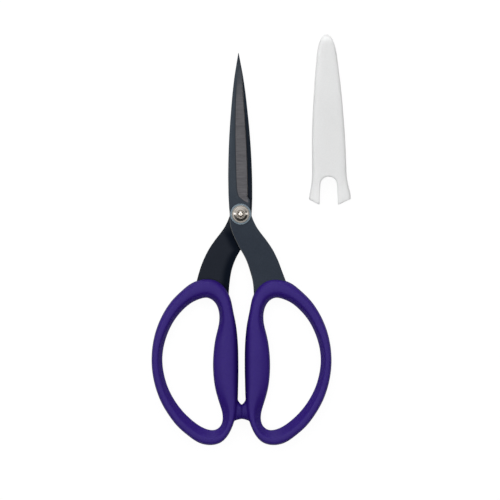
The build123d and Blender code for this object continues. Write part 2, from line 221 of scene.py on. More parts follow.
def cut_with(ob, cutters, op="DIFFERENCE"):
    for c in cutters:
        m = ob.modifiers.new("b", "BOOLEAN")
        m.operation = op
        m.solver = "EXACT"
        m.object = c
    bpy.context.view_layer.update()
    bake_modifiers(ob)
    for c in cutters:
        me = c.data
        bpy.data.objects.remove(c)
        bpy.data.meshes.remove(me)


def voxel(ob, size):
    m = ob.modifiers.new("r", "REMESH")
    m.mode = "VOXEL"
    m.voxel_size = size * MM
    m.adaptivity = 0.0
    m.use_smooth_shade = True
    bpy.context.view_layer.update()
    bake_modifiers(ob)


def get_co(me):
    co = np.zeros(len(me.vertices) * 3)
    me.vertices.foreach_get("co", co)
    return co.reshape(-1, 3)


def relax(me, steps, weight=None, lam=0.5):
    """Weighted Laplacian smoothing of the vertices."""
    co = get_co(me)
    ed = np.zeros(len(me.edges) * 2, int)
    me.edges.foreach_get("vertices", ed)
    a, b = ed.reshape(-1, 2).T
    n = len(co)
    deg = np.bincount(a, minlength=n) + np.bincount(b, minlength=n)
    w = np.ones(n) if weight is None else weight
    for _ in range(steps):
        acc = np.stack([np.bincount(a, co[b, k], n) + np.bincount(b, co[a, k], n)
                        for k in range(3)], 1) / np.maximum(deg, 1)[:, None]
        co = co + (lam * w)[:, None] * (acc - co)
    me.vertices.foreach_set("co", co.ravel())
    me.update()
    return co


def prism(name, poly, z0, z1):
    n = len(poly)
    v = [(x, y, z0) for x, y in poly] + [(x, y, z1) for x, y in poly]
    f = [tuple(range(n))[::-1], tuple(range(n, 2 * n))]
    f += [(i, (i + 1) % n, n + (i + 1) % n, n + i) for i in range(n)]
    return new_object(name, v, f)


def disc_poly(cx, cy, r, n=96):
    a = np.linspace(0, 2 * math.pi, n, endpoint=False)
    return [(cx + r * math.cos(t), cy + r * math.sin(t)) for t in a]


def lathe(name, profile, segs=128, sharp_deg=32.0):
    """Closed profile of (r, z) turned about Z."""
    prof = np.asarray(profile, float)
    n = len(prof)
    a = np.linspace(0, 2 * math.pi, segs, endpoint=False)
    v = np.zeros((segs, n, 3))
    v[:, :, 0] = prof[None, :, 0] * np.cos(a)[:, None]
    v[:, :, 1] = prof[None, :, 0] * np.sin(a)[:, None]
    v[:, :, 2] = prof[None, :, 1]
    f = []
    for i in range(segs):
        j = (i + 1) % segs
        for k in range(n):
            m = (k + 1) % n
            f.append((i * n + k, j * n + k, j * n + m, i * n + m))
    return new_object(name, v.reshape(-1, 3), f, sharp_deg)


def round_profile(pts, radii, steps=5):
    """Rounds the corners of a closed (r, z) profile; radius 0 keeps a corner."""
    out = []
    n = len(pts)
    for i in range(n):
        p = np.array(pts[i], float)
        a = np.array(pts[i - 1], float) - p
        b = np.array(pts[(i + 1) % n], float) - p
        r = radii[i]
        la, lb = np.linalg.norm(a), np.linalg.norm(b)
        if r <= 0 or la < 1e-9 or lb < 1e-9:
            out.append(tuple(p))
            continue
        r = min(r, la * 0.48, lb * 0.48)
        p0, p2 = p + a / la * r, p + b / lb * r
        for s in np.linspace(0, 1, steps):
            q = (1 - s) ** 2 * p0 + 2 * s * (1 - s) * p + s * s * p2
            out.append(tuple(q))
    return out


# --------------------------------------------------------------------- blades
def build_blade(name, side):
    left_pts = ([(y, -h) for y, h in SPINE] + [(y, u) for u, y in TANG_IN[1:]]
                + [(y, u) for u, y in BURIED_L])
    f_spine = pchip([p[0] for p in left_pts], [p[1] for p in left_pts])
    blade_e = pchip([y for _, y in EDGE], [u for u, _ in EDGE])
    ric = [EDGE[-1]] + RICASSO + [TANG_OUT[0]]
    ric_e = pchip([y for _, y in ric], [u for u, _ in ric])
    out = TANG_OUT + BURIED_R
    out_e = pchip([y for _, y in out], [u for u, _ in out])

    def f_edge(y):
        y = np.asarray(y, float)
        return np.where(y > 9.6, blade_e(y), np.where(y > 0.6, ric_e(y), out_e(y)))

    ys = np.unique(np.round(np.concatenate([
        np.linspace(78.48, 72, 36), np.arange(72, 14, -0.5),
        np.arange(14, 4.0, -0.16), np.arange(4.0, -34, -0.45),
        np.arange(-34, -38.4, -0.5), np.arange(-38.4, -39.2, -0.1),
        np.arange(-39.2, -58, -0.8), np.arange(-58, -60.31, -0.3)]), 4))[::-1]
    uL, uR = f_spine(ys), f_edge(ys)
    width = uR - uL
    # Column offsets: fine beside both edges, even in the middle.
    lo = np.array([0.0, 0.05, 0.14, 0.24, 0.34, 0.44])
    hi = np.array([0.62, 0.46, 0.34, 0.22, 0.14, 0.05, 0.0])
    nmid = 40
    k = np.minimum(1.0, width / 2.2)[:, None]
    a = uL[:, None] + lo[None] * k
    c = uR[:, None] - hi[None] * k
    t = np.linspace(0, 1, nmid + 2)[1:-1]
    b = a[:, -1:] + (c[:, :1] - a[:, -1:]) * t[None]
    U = np.concatenate([a, b, c], 1)
    Y = np.repeat(ys[:, None], U.shape[1], 1)

    # depth of the outer face below the stock surface
    drop = np.clip((Y - 24.0) / 54.0, 0, None) * 0.95
    ridge = pchip([p[0] for p in RIDGE], [p[1] for p in RIDGE])(Y)
    eR = uR[:, None]
    e_ref = np.where(Y > 9.6, eR, 3.74)
    t = np.clip((U - ridge) / np.maximum(e_ref - ridge, 0.05), 0, 1.25)
    run = smooth01((Y - 5.3) / 5.2)
    hollow = t * (1.30 - 0.30 * t)
    full = np.minimum(1.48, np.maximum(0.0, BLADE_T - drop - 0.42))
    depth_g = np.where(Y > 5.3, full * run * hollow, 0)
    from_edge = eR - U
    micro = np.where((Y > 8.0) & (Y < 78.3),
                     np.clip(1 - from_edge / 0.40, 0, 1) * 0.38
                     * smooth01((Y - 8.0) / 1.6) * np.minimum(1, width / 2.5)[:, None], 0)
    w_b = pchip([19, 26, 36, 46, 53.0, 56], [0.9, 1.6, 1.5, 0.9, 0.25, 0.05])(Y)
    d_b = pchip([17, 19, 26, 36, 46, 53.0, 56], [0, 0.01, 0.18, 0.34, 0.34, 0.10, 0])(Y)
    s = np.clip(1 - (U - uL[:, None]) / w_b, 0, 1)
    depth_b = np.where((Y > 17) & (Y < 56), d_b * s, 0)
    # broken edges, except along the cutting edge
    fromL = U - uL[:, None]
    rnd = lambda d: 0.11 * np.clip(1 - d / 0.14, 0, 1) ** 1.7
    wide = smooth01((1.5 - Y) / 3.0) * smooth01((Y + 34) / 4.0)
    depth_e = rnd(fromL) + np.where(Y < 8.6, rnd(from_edge), 0) \
        + wide * 0.26 * np.clip(1 - fromL / 0.34, 0, 1)
    depth = drop + depth_g + micro + depth_b + depth_e * np.minimum(1, width / 2.2)[:, None]
    depth = np.minimum(depth, BLADE_T - 0.06)
    top = Z_TOP - depth
    bot = Z_FRONT + (rnd(fromL) + np.where(Y < 8.6, rnd(from_edge), 0)) * 0.8 \
        * np.minimum(1, width / 2.2)[:, None]
    bot = np.minimum(bot, top - 0.03)

    R, C = U.shape
    X = mid_x(Y) + side * U
    if side < 0:
        top, bot = 2 * Z_MID - top, 2 * Z_MID - bot
    vt = np.stack([X, Y, top], 2).reshape(-1, 3)
    vb = np.stack([X, Y, bot], 2).reshape(-1, 3)
    verts = np.concatenate([vt, vb])
    n = R * C
    faces = []
    for r in range(R - 1):
        for q in range(C - 1):
            i = r * C + q
            faces.append((i, i + 1, i + 1 + C, i + C))
            faces.append((n + i, n + i + C, n + i + 1 + C, n + i + 1))
    for r in range(R - 1):
        i = r * C
        faces.append((i, i + C, n + i + C, n + i))
        i = r * C + C - 1
        faces.append((i, n + i, n + i + C, i + C))
    for q in range(C - 1):
        faces.append((q, n + q, n + q + 1, q + 1))
        i = (R - 1) * C + q
        faces.append((i, i + 1, n + i + 1, n + i))
    ob = new_object(name, verts, faces, 28.0)

    # Bore and keying holes.
    z0, z1 = (Z_FRONT - 1, Z_TOP + 1) if side > 0 else (Z_REAR - 1, Z_FRONT - 0.1)
    r = BORE_R if side > 0 else BARREL_R
    cutters = [prism("c0", disc_poly(0, 0, r, 96), z0, z1)]
    for u, y in KEY_HOLES:
        cutters.append(prism("c1", disc_poly(float(mid_x(y)) + side * u, y, 1.0, 32),
                             z0, z1))
    cut_with(ob, cutters)
    tidy(ob, 28.0)

    # Masks read by the material: the ground face, the cutting bevel and the ridge, the worn edge with
    # its painted highlight, painted shade on the inner face and painted shadow from the other blade.
    co = get_co(ob.data) / MM
    y = co[:, 1]
    u = side * (co[:, 0] - mid_x(y))
    er = f_edge(y)
    rg = pchip([p[0] for p in RIDGE], [p[1] for p in RIDGE])(y)
    zo = (co[:, 2] - Z_MID) * side
    outer = zo > 0.35
    ground = np.where(outer, smooth01((u - rg + 0.12) / 0.30) * smooth01((y - 5.2) / 0.5), 0)
    ground = ground * (1 - smooth01((y - 54) / 18) * 0.88)
    ground = np.where(y < 8.8, ground * smooth01((3.9 - u) / 0.5), ground)
    micro_m = np.where(outer | (zo > 0.12), smooth01(1 - (er - u) / 0.46)
                       * smooth01((y - 8.2) / 1.2) * (1 - smooth01((y - 62) / 12)), 0)
    ridge_m = np.where(outer & (y > 6), np.exp(-((u - rg + 0.05) / 0.35) ** 2)
                       * (1 - smooth01((y - 54) / 14)), 0)
    # Painted shade: the inner face is darkened, less so towards the tip; the coating itself is the
    # same as outside.
    inner = np.where(zo < 0.3, 1.0 - 0.55 * smooth01((y - 18) / 42), 0.0)
    fl = u - f_spine(y)
    # A light line along the front tang's left edge: bare steel, painted lighter as a highlight too.
    worn_edge_and_highlight = np.where((zo > 0.12) & (side > 0), smooth01(1 - (fl - 0.22) / 0.22)
                    * smooth01((-1.0 - y) / 3.0) * smooth01((y + 34) / 6), 0)
    # Painted shadow: the rear blade's inner face is darkened where the front blade shades it, round
    # the tang's crotch and along the blade beside the front blade's edge.
    over = u - np.abs(f_spine(y))
    painted_overlap_shadow = np.where((side < 0) & (zo < 0.3),
                    smooth01((5.6 - over) / 3.6) * smooth01((-5 - y) / 5.0)
                    + 0.80 * smooth01((y - 4.0) / 3.0), 0)
    for nm, arr in (("ground", ground), ("micro", micro_m), ("ridge", ridge_m),
                    ("inner", inner), ("worn_edge_and_highlight", worn_edge_and_highlight), ("painted_overlap_shadow", painted_overlap_shadow)):
        at = ob.data.attributes.new(nm, "FLOAT", "POINT")
        at.data.foreach_set("value", arr.astype(np.float32))
    return ob


# ---------------------------------------------------------------------- grips
def build_grip(name, side):
    n, m = 300, 78
    st = periodic_spline(BOW, n)
    rows = []
    for half_row in (SECTION_RING, SECTION_BAR):
        row = half_row + [(u, -z) for u, z in half_row[-2:0:-1]]
        rows.append(periodic_spline(row, m))
    cx, cy = (st[:, 0] + st[:, 2]) / 2, (st[:, 1] + st[:, 3]) / 2
    hx, hy = (st[:, 0] - st[:, 2]) / 2, (st[:, 1] - st[:, 3]) / 2
    wide = smooth01((2 * np.hypot(hx, hy) - 6.5) / 5.5)[:, None]
    # The crest leans outwards round the bottom of the bow, inwards at its top.
    k = (0.14 * smooth01((-88.0 - cy) / 14.0) - 0.26 * smooth01((cy + 72.0) / 20.0))[:, None]
    u = (1 - wide) * rows[0][None, :, 0] + wide * rows[1][None, :, 0]
    z = (1 - wide) * rows[0][None, :, 1] + wide * rows[1][None, :, 1]
    u = u + k * (1 - u * u)
    Y = cy[:, None] + hy[:, None] * u
    X = handle_x(Y) + side * (cx[:, None] + hx[:, None] * u)
    Z = Z_MID + z * st[:, 4][:, None] / 2
    verts = np.stack([X, Y, Z], 2).reshape(-1, 3)
    faces = []
    for i in range(n):
        j = (i + 1) % n
        for k in range(m):
            q = (k + 1) % m
            faces.append((i * m + k, j * m + k, j * m + q, i * m + q))
    ring = new_object(name, verts, faces)
    bm = bmesh.new()
    bm.from_mesh(ring.data)
    tree = BVHTree.FromBMesh(bm)
    bm.free()

    # Stop boss: a small rounded button that meets its twin at the seam.
    xs0 = float(handle_x(-96.0))
    yc = -96.1
    rows = [(-0.8, -96.1, -96.2, 0.05), (-0.8, -92.8, -99.4, 2.4)] + STOP + [(5.4, -89.0, -100.7, 2.6),
                                                       (5.4, -94.7, -94.9, 0.05)]
    mm = 44
    bv, bf = [], []
    for x, top, bottom, rz in rows:
        yy, ry = (top + bottom) / 2, (top - bottom) / 2 + 0.12
        for k in range(mm):
            a = 2 * math.pi * k / mm
            cc, ss = math.cos(a), math.sin(a)
            bv.append((xs0 + side * x,
                       yy + ry * math.copysign(abs(cc) ** 0.8, cc),
                       Z_MID + rz * math.copysign(abs(ss) ** 0.8, ss)))
    for i in range(len(rows) - 1):
        for k in range(mm):
            q = (k + 1) % mm
            bf.append((i * mm + k, (i + 1) * mm + k, (i + 1) * mm + q, i * mm + q))
    bf.append(tuple(range(mm)))
    bf.append(tuple(range((len(rows) - 1) * mm, len(rows) * mm))[::-1])
    boss = new_object("boss", bv, bf)
    cut_with(ring, [boss], "UNION")
    voxel(ring, 0.36)
    me = ring.data
    co = get_co(me) / MM
    x = side * (co[:, 0] - xs0)
    d = np.sqrt(((co[:, 1] - yc) / 6.2) ** 2 + (np.clip(x - 1.2, 0, None) / 2.8) ** 2)
    near = smooth01((1.25 - d) / 0.4)          # 1 round the boss, 0 elsewhere
    seam = smooth01((0.8 - x) / 0.5)
    relax(me, 4)
    relax(me, 12, near * (1 - 0.9 * seam))
    # Away from the boss the skin follows the designed surface exactly.
    co = get_co(me)
    for i in np.nonzero(near < 0.999)[0]:
        p, _, _, _ = tree.find_nearest(Vector(co[i]))
        w = 1 - near[i]
        co[i] = co[i] * (1 - w) + np.array(p) * w
    # The boss's end face is flat at the seam, which leans very slightly.
    lean = 0.035 * (co[:, 2] - Z_MID * MM)
    xs = np.maximum(side * (co[:, 0] - xs0 * MM - lean), STOP_GAP / 2 * MM)
    flat = side * (co[:, 0] - xs0 * MM - lean) < STOP_GAP / 2 * MM
    co[:, 0] = np.where(flat, xs0 * MM + lean + side * xs, co[:, 0])
    me.vertices.foreach_set("co", co.ravel())
    me.update()
    tidy(ring, 60.0, 1e-6)

    # Mask of the painted shade on the side that faces the other bow, weaker round the boss, read by
    # the material.
    co = get_co(ring.data) / MM
    away = side * (co[:, 0] - handle_x(co[:, 1]))
    painted_gap_shade = (smooth01((4.6 - away) / 3.4) * smooth01((-44.0 - co[:, 1]) / 10.0)
           * (0.30 + 0.70 * smooth01((co[:, 1] + 94.0) / 6.0))
           * smooth01((co[:, 1] + 104.5) / 6.0))
    at = ring.data.attributes.new("painted_gap_shade", "FLOAT", "POINT")
    at.data.foreach_set("value", painted_gap_shade.astype(np.float32))
    return ring


# ---------------------------------------------------------------- blade guard
def guard_height(y):
    s = max(0.0, (y - GUARD_Y0) / (GUARD_Y1 - GUARD_Y0))
    return GUARD_H_MOUTH + (GUARD_H_TIP - GUARD_H_MOUTH) * s


def tube(name, rows, m=72, expo=0.42):
    """Closed tube through (y, xl, xr, z0, z1) rows of rounded section."""
    v, f = [], []
    for y, xl, xr, z0, z1 in rows:
        cx, cz, rx, rz = (xl + xr) / 2, (z0 + z1) / 2, (xr - xl) / 2, (z1 - z0) / 2
        e = min(1.0, expo + 0.0)
        for k in range(m):
            a = 2 * math.pi * k / m
            c, s = math.cos(a), math.sin(a)
            v.append((cx + rx * math.copysign(abs(c) ** (e + 0.16), c), y,
                      cz + rz * math.copysign(abs(s) ** e, s)))
    r = len(rows)
    for i in range(r - 1):
        for k in range(m):
            q = (k + 1) % m
            f.append((i * m + k, (i + 1) * m + k, (i + 1) * m + q, i * m + q))
    f.append(tuple(range(m)))
    f.append(tuple(range((r - 1) * m, r * m))[::-1])
    return new_object(name, v, f)


def build_guard(name):
    fl = pchip([g[0] for g in GUARD], [g[1] for g in GUARD])
    fr = pchip([g[0] for g in GUARD], [g[2] for g in GUARD])
    ys = np.concatenate([np.arange(1.0, 84, 0.9), np.linspace(84, 87.3, 22)])
    outer, inner = [], []
    for y in ys:
        hgt = guard_height(y)
        k = max(0.0, (y - 84) / 3.3)
        z1 = hgt - 2.3 * k * k
        outer.append((y, float(fl(y)), float(fr(y)), 0.0 + 0.7 * k * k, z1))
        if y < 83.6:
            inner.append((y, float(fl(y)) + GUARD_WALL, float(fr(y)) - GUARD_WALL,
                          GUARD_WALL, hgt - GUARD_WALL))
    inner[0] = (0.2,) + inner[0][1:]
    ob = tube(name, outer)
    cav = tube("cavity", inner, expo=0.36)
    cut_with(ob, [cav])
    gx = GUARD_AXIS_X
    poly = [(gx - NOTCH_HALF - 0.25, -3), (gx + NOTCH_HALF + 0.25, -3)]
    top_y, r = NOTCH_TOP - 4.0, 4.0
    poly += [(gx + NOTCH_HALF, 6.0), (gx + NOTCH_HALF - 0.1, 10.0)]
    poly += [(gx + r * math.cos(a), top_y + r * math.sin(a))
             for a in np.linspace(0, math.pi, 25)]
    poly += [(gx - NOTCH_HALF + 0.1, 10.0), (gx - NOTCH_HALF, 6.0)]
    notch = prism("notch", poly, -3, 12)
    cut_with(ob, [notch])
    left = prism("fl", [(29, 9.15), (33.2, 7.0), (38.2, 4.55), (40, 3.5), (40, -5), (29, -5)], -3, 12)
    right = prism("fr", [(57, 9.0), (53.2, 7.2), (48.4, 4.9), (45, 3.2), (45, -5), (57, -5)], -3, 12)
    cut_with(ob, [left])
    cut_with(ob, [right])
    voxel(ob, 0.30)
    relax(ob.data, 9)
    co = get_co(ob.data)
    co[:, 2] = np.maximum(co[:, 2], 0.0)
    ob.data.vertices.foreach_set("co", co.ravel())
    tidy(ob, 60.0, 1e-6)
    return ob


# ----------------------------------------------------------------- pivot stack
def build_pivot():
    zt = Z_TOP + 0.03 + 0.5
    out = {}
    # Dull flange, polished cone rising inwards, a groove round the screw end.
    nut = [(NUT_BORE_R, 3.0), (BARREL_R, 3.0), (BARREL_R, zt), (4.25, zt),
           (4.25, zt + 0.46), (3.58, zt + 0.52), (3.38, zt + 0.60),
           (2.16, zt + 1.14), (1.96, zt + 1.12), (1.82, zt + 0.70),
           (NUT_BORE_R, zt + 0.66)]
    rad = [0, 0.25, 0, 0.1, 0.16, 0.12, 0.12, 0.14, 0.08, 0.05, 0.05]
    out["nut_domed"] = lathe("nut_domed", round_profile(nut, rad, 7), 160, 40)
    ze, rs = zt + 1.62, 2.2
    scr = [(0.001, 0.0), (4.8, 0.0), (4.8, 2.2), (SHANK_R, 2.2), (SHANK_R, ze - 0.95)]
    rad = [0, 0.45, 0.3, 0, 0]
    for r in (1.47, 1.40, 1.28, 1.12, 0.94, 0.75, 0.56, 0.38, 0.2, 0.001):
        edge = 0.28 * max(0.0, (r - 1.12) / 0.35) ** 2
        scr.append((r, ze - rs + math.sqrt(rs * rs - r * r) - edge))
        rad.append(0)
    screw = lathe("screw_slotted", round_profile(scr, rad, 7), 160, 40)
    slot = prism("slot", [(-2.1, -0.6)] + [(2.1 + 0.6 * math.cos(a), 0.6 * math.sin(a))
                 for a in np.linspace(-math.pi / 2, math.pi / 2, 13)]
                 + [(-2.1 + 0.6 * math.cos(a), 0.6 * math.sin(a))
                    for a in np.linspace(math.pi / 2, 3 * math.pi / 2, 13)][:-1], -0.5, 0.9)
    cut_with(screw, [slot])
    tidy(screw, 40)
    out["screw_slotted"] = screw
    z = Z_TOP + 0.03
    out["washer_clear"] = lathe("washer_clear", round_profile(
        [(BARREL_R, z), (5.1, z), (5.1, z + 0.5), (BARREL_R, z + 0.5)],
        [0, 0.1, 0.22, 0], 6), 160, 40)
    z0, z1 = Z_REAR + BLADE_T, Z_FRONT - 0.03
    out["washer_centre"] = lathe("washer_centre", round_profile(
        [(BARREL_R, z0), (4.6, z0), (4.6, z1), (BARREL_R, z1)],
        [0, 0.05, 0.05, 0], 4), 128, 40)
    out["washer_rear"] = lathe("washer_rear", round_profile(
        [(BARREL_R + 0.05, 2.78), (5.0, 2.78), (5.0, Z_REAR), (BARREL_R + 0.05, Z_REAR)],
        [0, 0.18, 0.1, 0], 6), 160, 40)
    out["washer_spring"] = lathe("washer_spring", round_profile(
        [(1.75, 2.22), (2.1, 2.22), (4.4, 2.48), (4.4, 2.76), (4.1, 2.76), (1.75, 2.5)],
        [0.05, 0.05, 0.08, 0.06, 0.05, 0.05], 4), 128, 40)
    return out


# ------------------------------------------------------------------- materials
class Mat:
    def __init__(self, name):
        self.m = bpy.data.materials.new(name)
        self.m.use_nodes = True
        self.nt = self.m.node_tree
        self.p = self.nt.nodes["Principled BSDF"]

    def node(self, kind, **kw):
        n = self.nt.nodes.new(kind)
        for k, v in kw.items():
            setattr(n, k, v)
        return n

    def link(self, a, b):
        self.nt.links.new(a, b)

    def coords(self, scale=(1, 1, 1)):
        tc = self.node("ShaderNodeTexCoord")
        mp = self.node("ShaderNodeMapping")
        mp.inputs["Scale"].default_value = scale
        self.link(tc.outputs["Object"], mp.inputs["Vector"])
        return mp.outputs["Vector"]

    def noise(self, vec, scale, detail=4.0, rough=0.55, dist=0.0):
        n = self.node("ShaderNodeTexNoise")
        n.inputs["Scale"].default_value = scale
        n.inputs["Detail"].default_value = detail
        n.inputs["Roughness"].default_value = rough
        n.inputs["Distortion"].default_value = dist
        self.link(vec, n.inputs["Vector"])
        return n.outputs["Fac"]

    def ramp(self, fac, stops):
        r = self.node("ShaderNodeValToRGB")
        e = r.color_ramp.elements
        e[0].position, e[0].color = stops[0][0], tuple(stops[0][1]) + (1,)
        e[1].position, e[1].color = stops[-1][0], tuple(stops[-1][1]) + (1,)
        for pos, col in stops[1:-1]:
            k = e.new(pos)
            k.color = tuple(col) + (1,)
        self.link(fac, r.inputs["Fac"])
        return r.outputs["Color"]

    def rng(self, fac, lo, hi, a, b):
        r = self.node("ShaderNodeMapRange")
        for i, v in enumerate((lo, hi, a, b)):
            r.inputs[i + 1].default_value = v
        self.link(fac, r.inputs[0])
        return r.outputs[0]

    def math(self, op, a, b=None):
        n = self.node("ShaderNodeMath", operation=op)
        for i, v in enumerate((a, b)):
            if v is None:
                continue
            if isinstance(v, (int, float)):
                n.inputs[i].default_value = v
            else:
                self.link(v, n.inputs[i])
        return n.outputs[0]

    def mix(self, fac, a, b, blend="MIX"):
        n = self.node("ShaderNodeMix", data_type="RGBA", blend_type=blend)
        if isinstance(fac, (int, float)):
            n.inputs[0].default_value = fac
        else:
            self.link(fac, n.inputs[0])
        for sock, v in ((n.inputs[6], a), (n.inputs[7], b)):
            if isinstance(v, tuple):
                sock.default_value = v + (1,)
            else:
                self.link(v, sock)
        return n.outputs[2]

    def bump(self, height, dist, strength=1.0, normal=None):
        b = self.node("ShaderNodeBump")
        b.inputs["Distance"].default_value = dist
        b.inputs["Strength"].default_value = strength
        self.link(height, b.inputs["Height"])
        if normal is not None:
            self.link(normal, b.inputs["Normal"])
        return b.outputs["Normal"]

    def attr(self, name):
        a = self.node("ShaderNodeAttribute", attribute_name=name)
        return a.outputs["Fac"]

    def set(self, **kw):
        for k, v in kw.items():
            self.p.inputs[k.replace("_", " ")].default_value = v


def mat_steel(name, tone=1.0):
    m = Mat(name)
    m.set(Metallic=0.85, Roughness=0.4)
    flat_v = m.coords((60, 900, 60))
    cross_v = m.coords((220, 2600, 220))
    cloud_v = m.coords((1, 1, 1))
    cloud = m.noise(cloud_v, 90, 5, 0.6)
    fine = m.noise(cloud_v, 2600, 3, 0.6)
    coat = m.ramp(cloud, [(0.25, (0.034 * tone, 0.046 * tone, 0.062 * tone)),
                          (0.75, (0.045 * tone, 0.057 * tone, 0.073 * tone))])
    speck = m.ramp(fine, [(0.35, (0.82, 0.82, 0.82)), (0.75, (1.12, 1.12, 1.12))])
    coat = m.mix(1.0, coat, speck, "MULTIPLY")
    # The colour is darker on the tangs than on the ground blades.
    yy = m.node("ShaderNodeSeparateXYZ")
    m.link(cloud_v, yy.inputs[0])
    tang_darker = m.rng(yy.outputs[1], -0.012, 0.012, 1.0, 0.0)
    coat = m.mix(tang_darker, coat, m.mix(1.0, coat, (0.60, 0.63, 0.71), "MULTIPLY"))
    streak = m.noise(cross_v, 1.0, 4, 0.65, 0.3)
    streak2 = m.noise(m.coords((90, 520, 90)), 1.0, 3, 0.6, 0.2)
    g1 = m.ramp(streak, [(0.25, (0.074, 0.073, 0.079)), (0.8, (0.124, 0.121, 0.129))])
    g2 = m.ramp(streak2, [(0.3, (0.88, 0.88, 0.89)), (0.75, (1.10, 1.10, 1.09))])
    ground = m.mix(1.0, g1, g2, "MULTIPLY")
    col = m.mix(m.attr("ridge"), coat, (0.020, 0.024, 0.031))
    col = m.mix(m.attr("ground"), col, ground)
    col = m.mix(m.attr("micro"), col, (0.20, 0.195, 0.19))
    # Bare steel on the front tang's left edge, painted lighter as a highlight as well.
    col = m.mix(m.attr("worn_edge_and_highlight"), col, (0.13, 0.135, 0.14))
    # Painted shade on the inner faces.
    inner = m.mix(1.0, coat, (0.40, 0.41, 0.47), "MULTIPLY")
    col = m.mix(m.attr("inner"), col, inner)
    # Painted shadow of the front blade on the rear blade's inner face.
    col = m.mix(m.attr("painted_overlap_shadow"), col, m.mix(1.0, col, (0.33, 0.42, 0.52), "MULTIPLY"))
    m.link(col, m.p.inputs["Base Color"])
    bare = m.math("MAXIMUM", m.attr("ground"), m.attr("micro"))
    m.link(m.rng(bare, 0.0, 1.0, 0.25, 0.9), m.p.inputs["Metallic"])
    # The painted shadow also takes the shine off.
    m.link(m.rng(m.attr("painted_overlap_shadow"), 0.0, 1.0, 0.16, 0.03), m.p.inputs["Specular IOR Level"])
    r = m.rng(m.noise(flat_v, 1.0, 3, 0.6), 0.2, 0.8, 0.34, 0.46)
    m.link(r, m.p.inputs["Roughness"])
    grain = m.math("MULTIPLY", streak, m.attr("ground"))
    nb = m.bump(fine, 0.00001, 0.5)
    nb = m.bump(grain, 0.00003, 0.8, nb)
    m.link(nb, m.p.inputs["Normal"])
    return m.m


def mat_grip(name):
    m = Mat(name)
    m.set(Roughness=0.55)
    m.p.inputs["Specular IOR Level"].default_value = 0.30
    m.p.inputs["Sheen Weight"].default_value = 0.0
    m.p.inputs["Sheen Roughness"].default_value = 0.5
    m.p.inputs["Sheen Tint"].default_value = (0.45, 0.35, 0.9, 1)
    v = m.coords()
    big = m.noise(v, 60, 4, 0.5)
    fine = m.noise(v, 3200, 2, 0.6)
    mid = m.noise(v, 900, 3, 0.6)
    col = m.ramp(big, [(0.3, (0.0200, 0.0026, 0.158)), (0.7, (0.0230, 0.0034, 0.174))])
    tint = m.ramp(fine, [(0.3, (0.92, 0.92, 0.93)), (0.7, (1.07, 1.07, 1.06))])
    col = m.mix(1.0, col, tint, "MULTIPLY")
    # Painted shade: the skin is darkened, and its shine lowered, on the side that faces the other bow.
    col = m.mix(m.attr("painted_gap_shade"), col, m.mix(1.0, col, (0.22, 0.20, 0.42), "MULTIPLY"))
    m.link(col, m.p.inputs["Base Color"])
    m.link(m.rng(m.attr("painted_gap_shade"), 0.0, 1.0, 0.30, 0.08), m.p.inputs["Specular IOR Level"])
    m.link(m.rng(mid, 0.3, 0.7, 0.50, 0.62), m.p.inputs["Roughness"])
    nb = m.bump(mid, 0.00003, 0.25)
    nb = m.bump(fine, 0.000012, 0.35, nb)
    m.link(nb, m.p.inputs["Normal"])
    return m.m


def mat_core(name):
    m = Mat(name)
    v = m.coords()
    n = m.noise(v, 700, 4, 0.6)
    m.link(m.ramp(n, [(0.3, (0.040, 0.020, 0.12)), (0.7, (0.050, 0.026, 0.14))]),
           m.p.inputs["Base Color"])
    m.link(m.rng(n, 0.3, 0.7, 0.45, 0.55), m.p.inputs["Roughness"])
    m.link(m.bump(n, 0.00002, 0.4), m.p.inputs["Normal"])
    return m.m


def mat_nickel(name, tone=1.0, rough=(0.10, 0.18)):
    m = Mat(name)
    m.set(Metallic=1.0)
    v = m.coords()
    # turned rings: a fine pattern of the radius only
    sep = m.node("ShaderNodeSeparateXYZ")
    m.link(v, sep.inputs[0])
    r2 = m.math("ADD", m.math("MULTIPLY", sep.outputs[0], sep.outputs[0]),
                m.math("MULTIPLY", sep.outputs[1], sep.outputs[1]))
    rad = m.math("SQRT", r2)
    com = m.node("ShaderNodeCombineXYZ")
    m.link(m.math("MULTIPLY", rad, 9000.0), com.inputs[0])
    rings = m.noise(com.outputs[0], 1.0, 2, 0.5)
    blot = m.noise(v, 500, 4, 0.6)
    m.link(m.ramp(blot, [(0.3, (0.52 * tone, 0.48 * tone, 0.43 * tone)),
                         (0.7, (0.59 * tone, 0.55 * tone, 0.50 * tone))]),
           m.p.inputs["Base Color"])
    m.link(m.rng(blot, 0.3, 0.7, rough[0], rough[1]), m.p.inputs["Roughness"])
    m.link(m.bump(rings, 0.000008, 0.35), m.p.inputs["Normal"])
    return m.m


def mat_spring(name):
    m = Mat(name)
    m.set(Metallic=1.0)
    n = m.noise(m.coords(), 900, 4, 0.6)
    m.link(m.ramp(n, [(0.3, (0.30, 0.30, 0.31)), (0.7, (0.40, 0.40, 0.41))]),
           m.p.inputs["Base Color"])
    m.link(m.rng(n, 0.3, 0.7, 0.25, 0.38), m.p.inputs["Roughness"])
    m.link(m.bump(n, 0.00001, 0.4), m.p.inputs["Normal"])
    return m.m


def mat_clear(name):
    m = Mat(name)
    m.set(IOR=1.49)
    m.p.inputs["Transmission Weight"].default_value = 0.35
    n = m.noise(m.coords(), 1200, 3, 0.5)
    m.link(m.ramp(n, [(0.3, (0.22, 0.30, 0.36)), (0.7, (0.27, 0.35, 0.41))]),
           m.p.inputs["Base Color"])
    m.link(m.rng(n, 0.3, 0.7, 0.22, 0.34), m.p.inputs["Roughness"])
    m.link(m.bump(n, 0.00001, 0.3), m.p.inputs["Normal"])
    return m.m


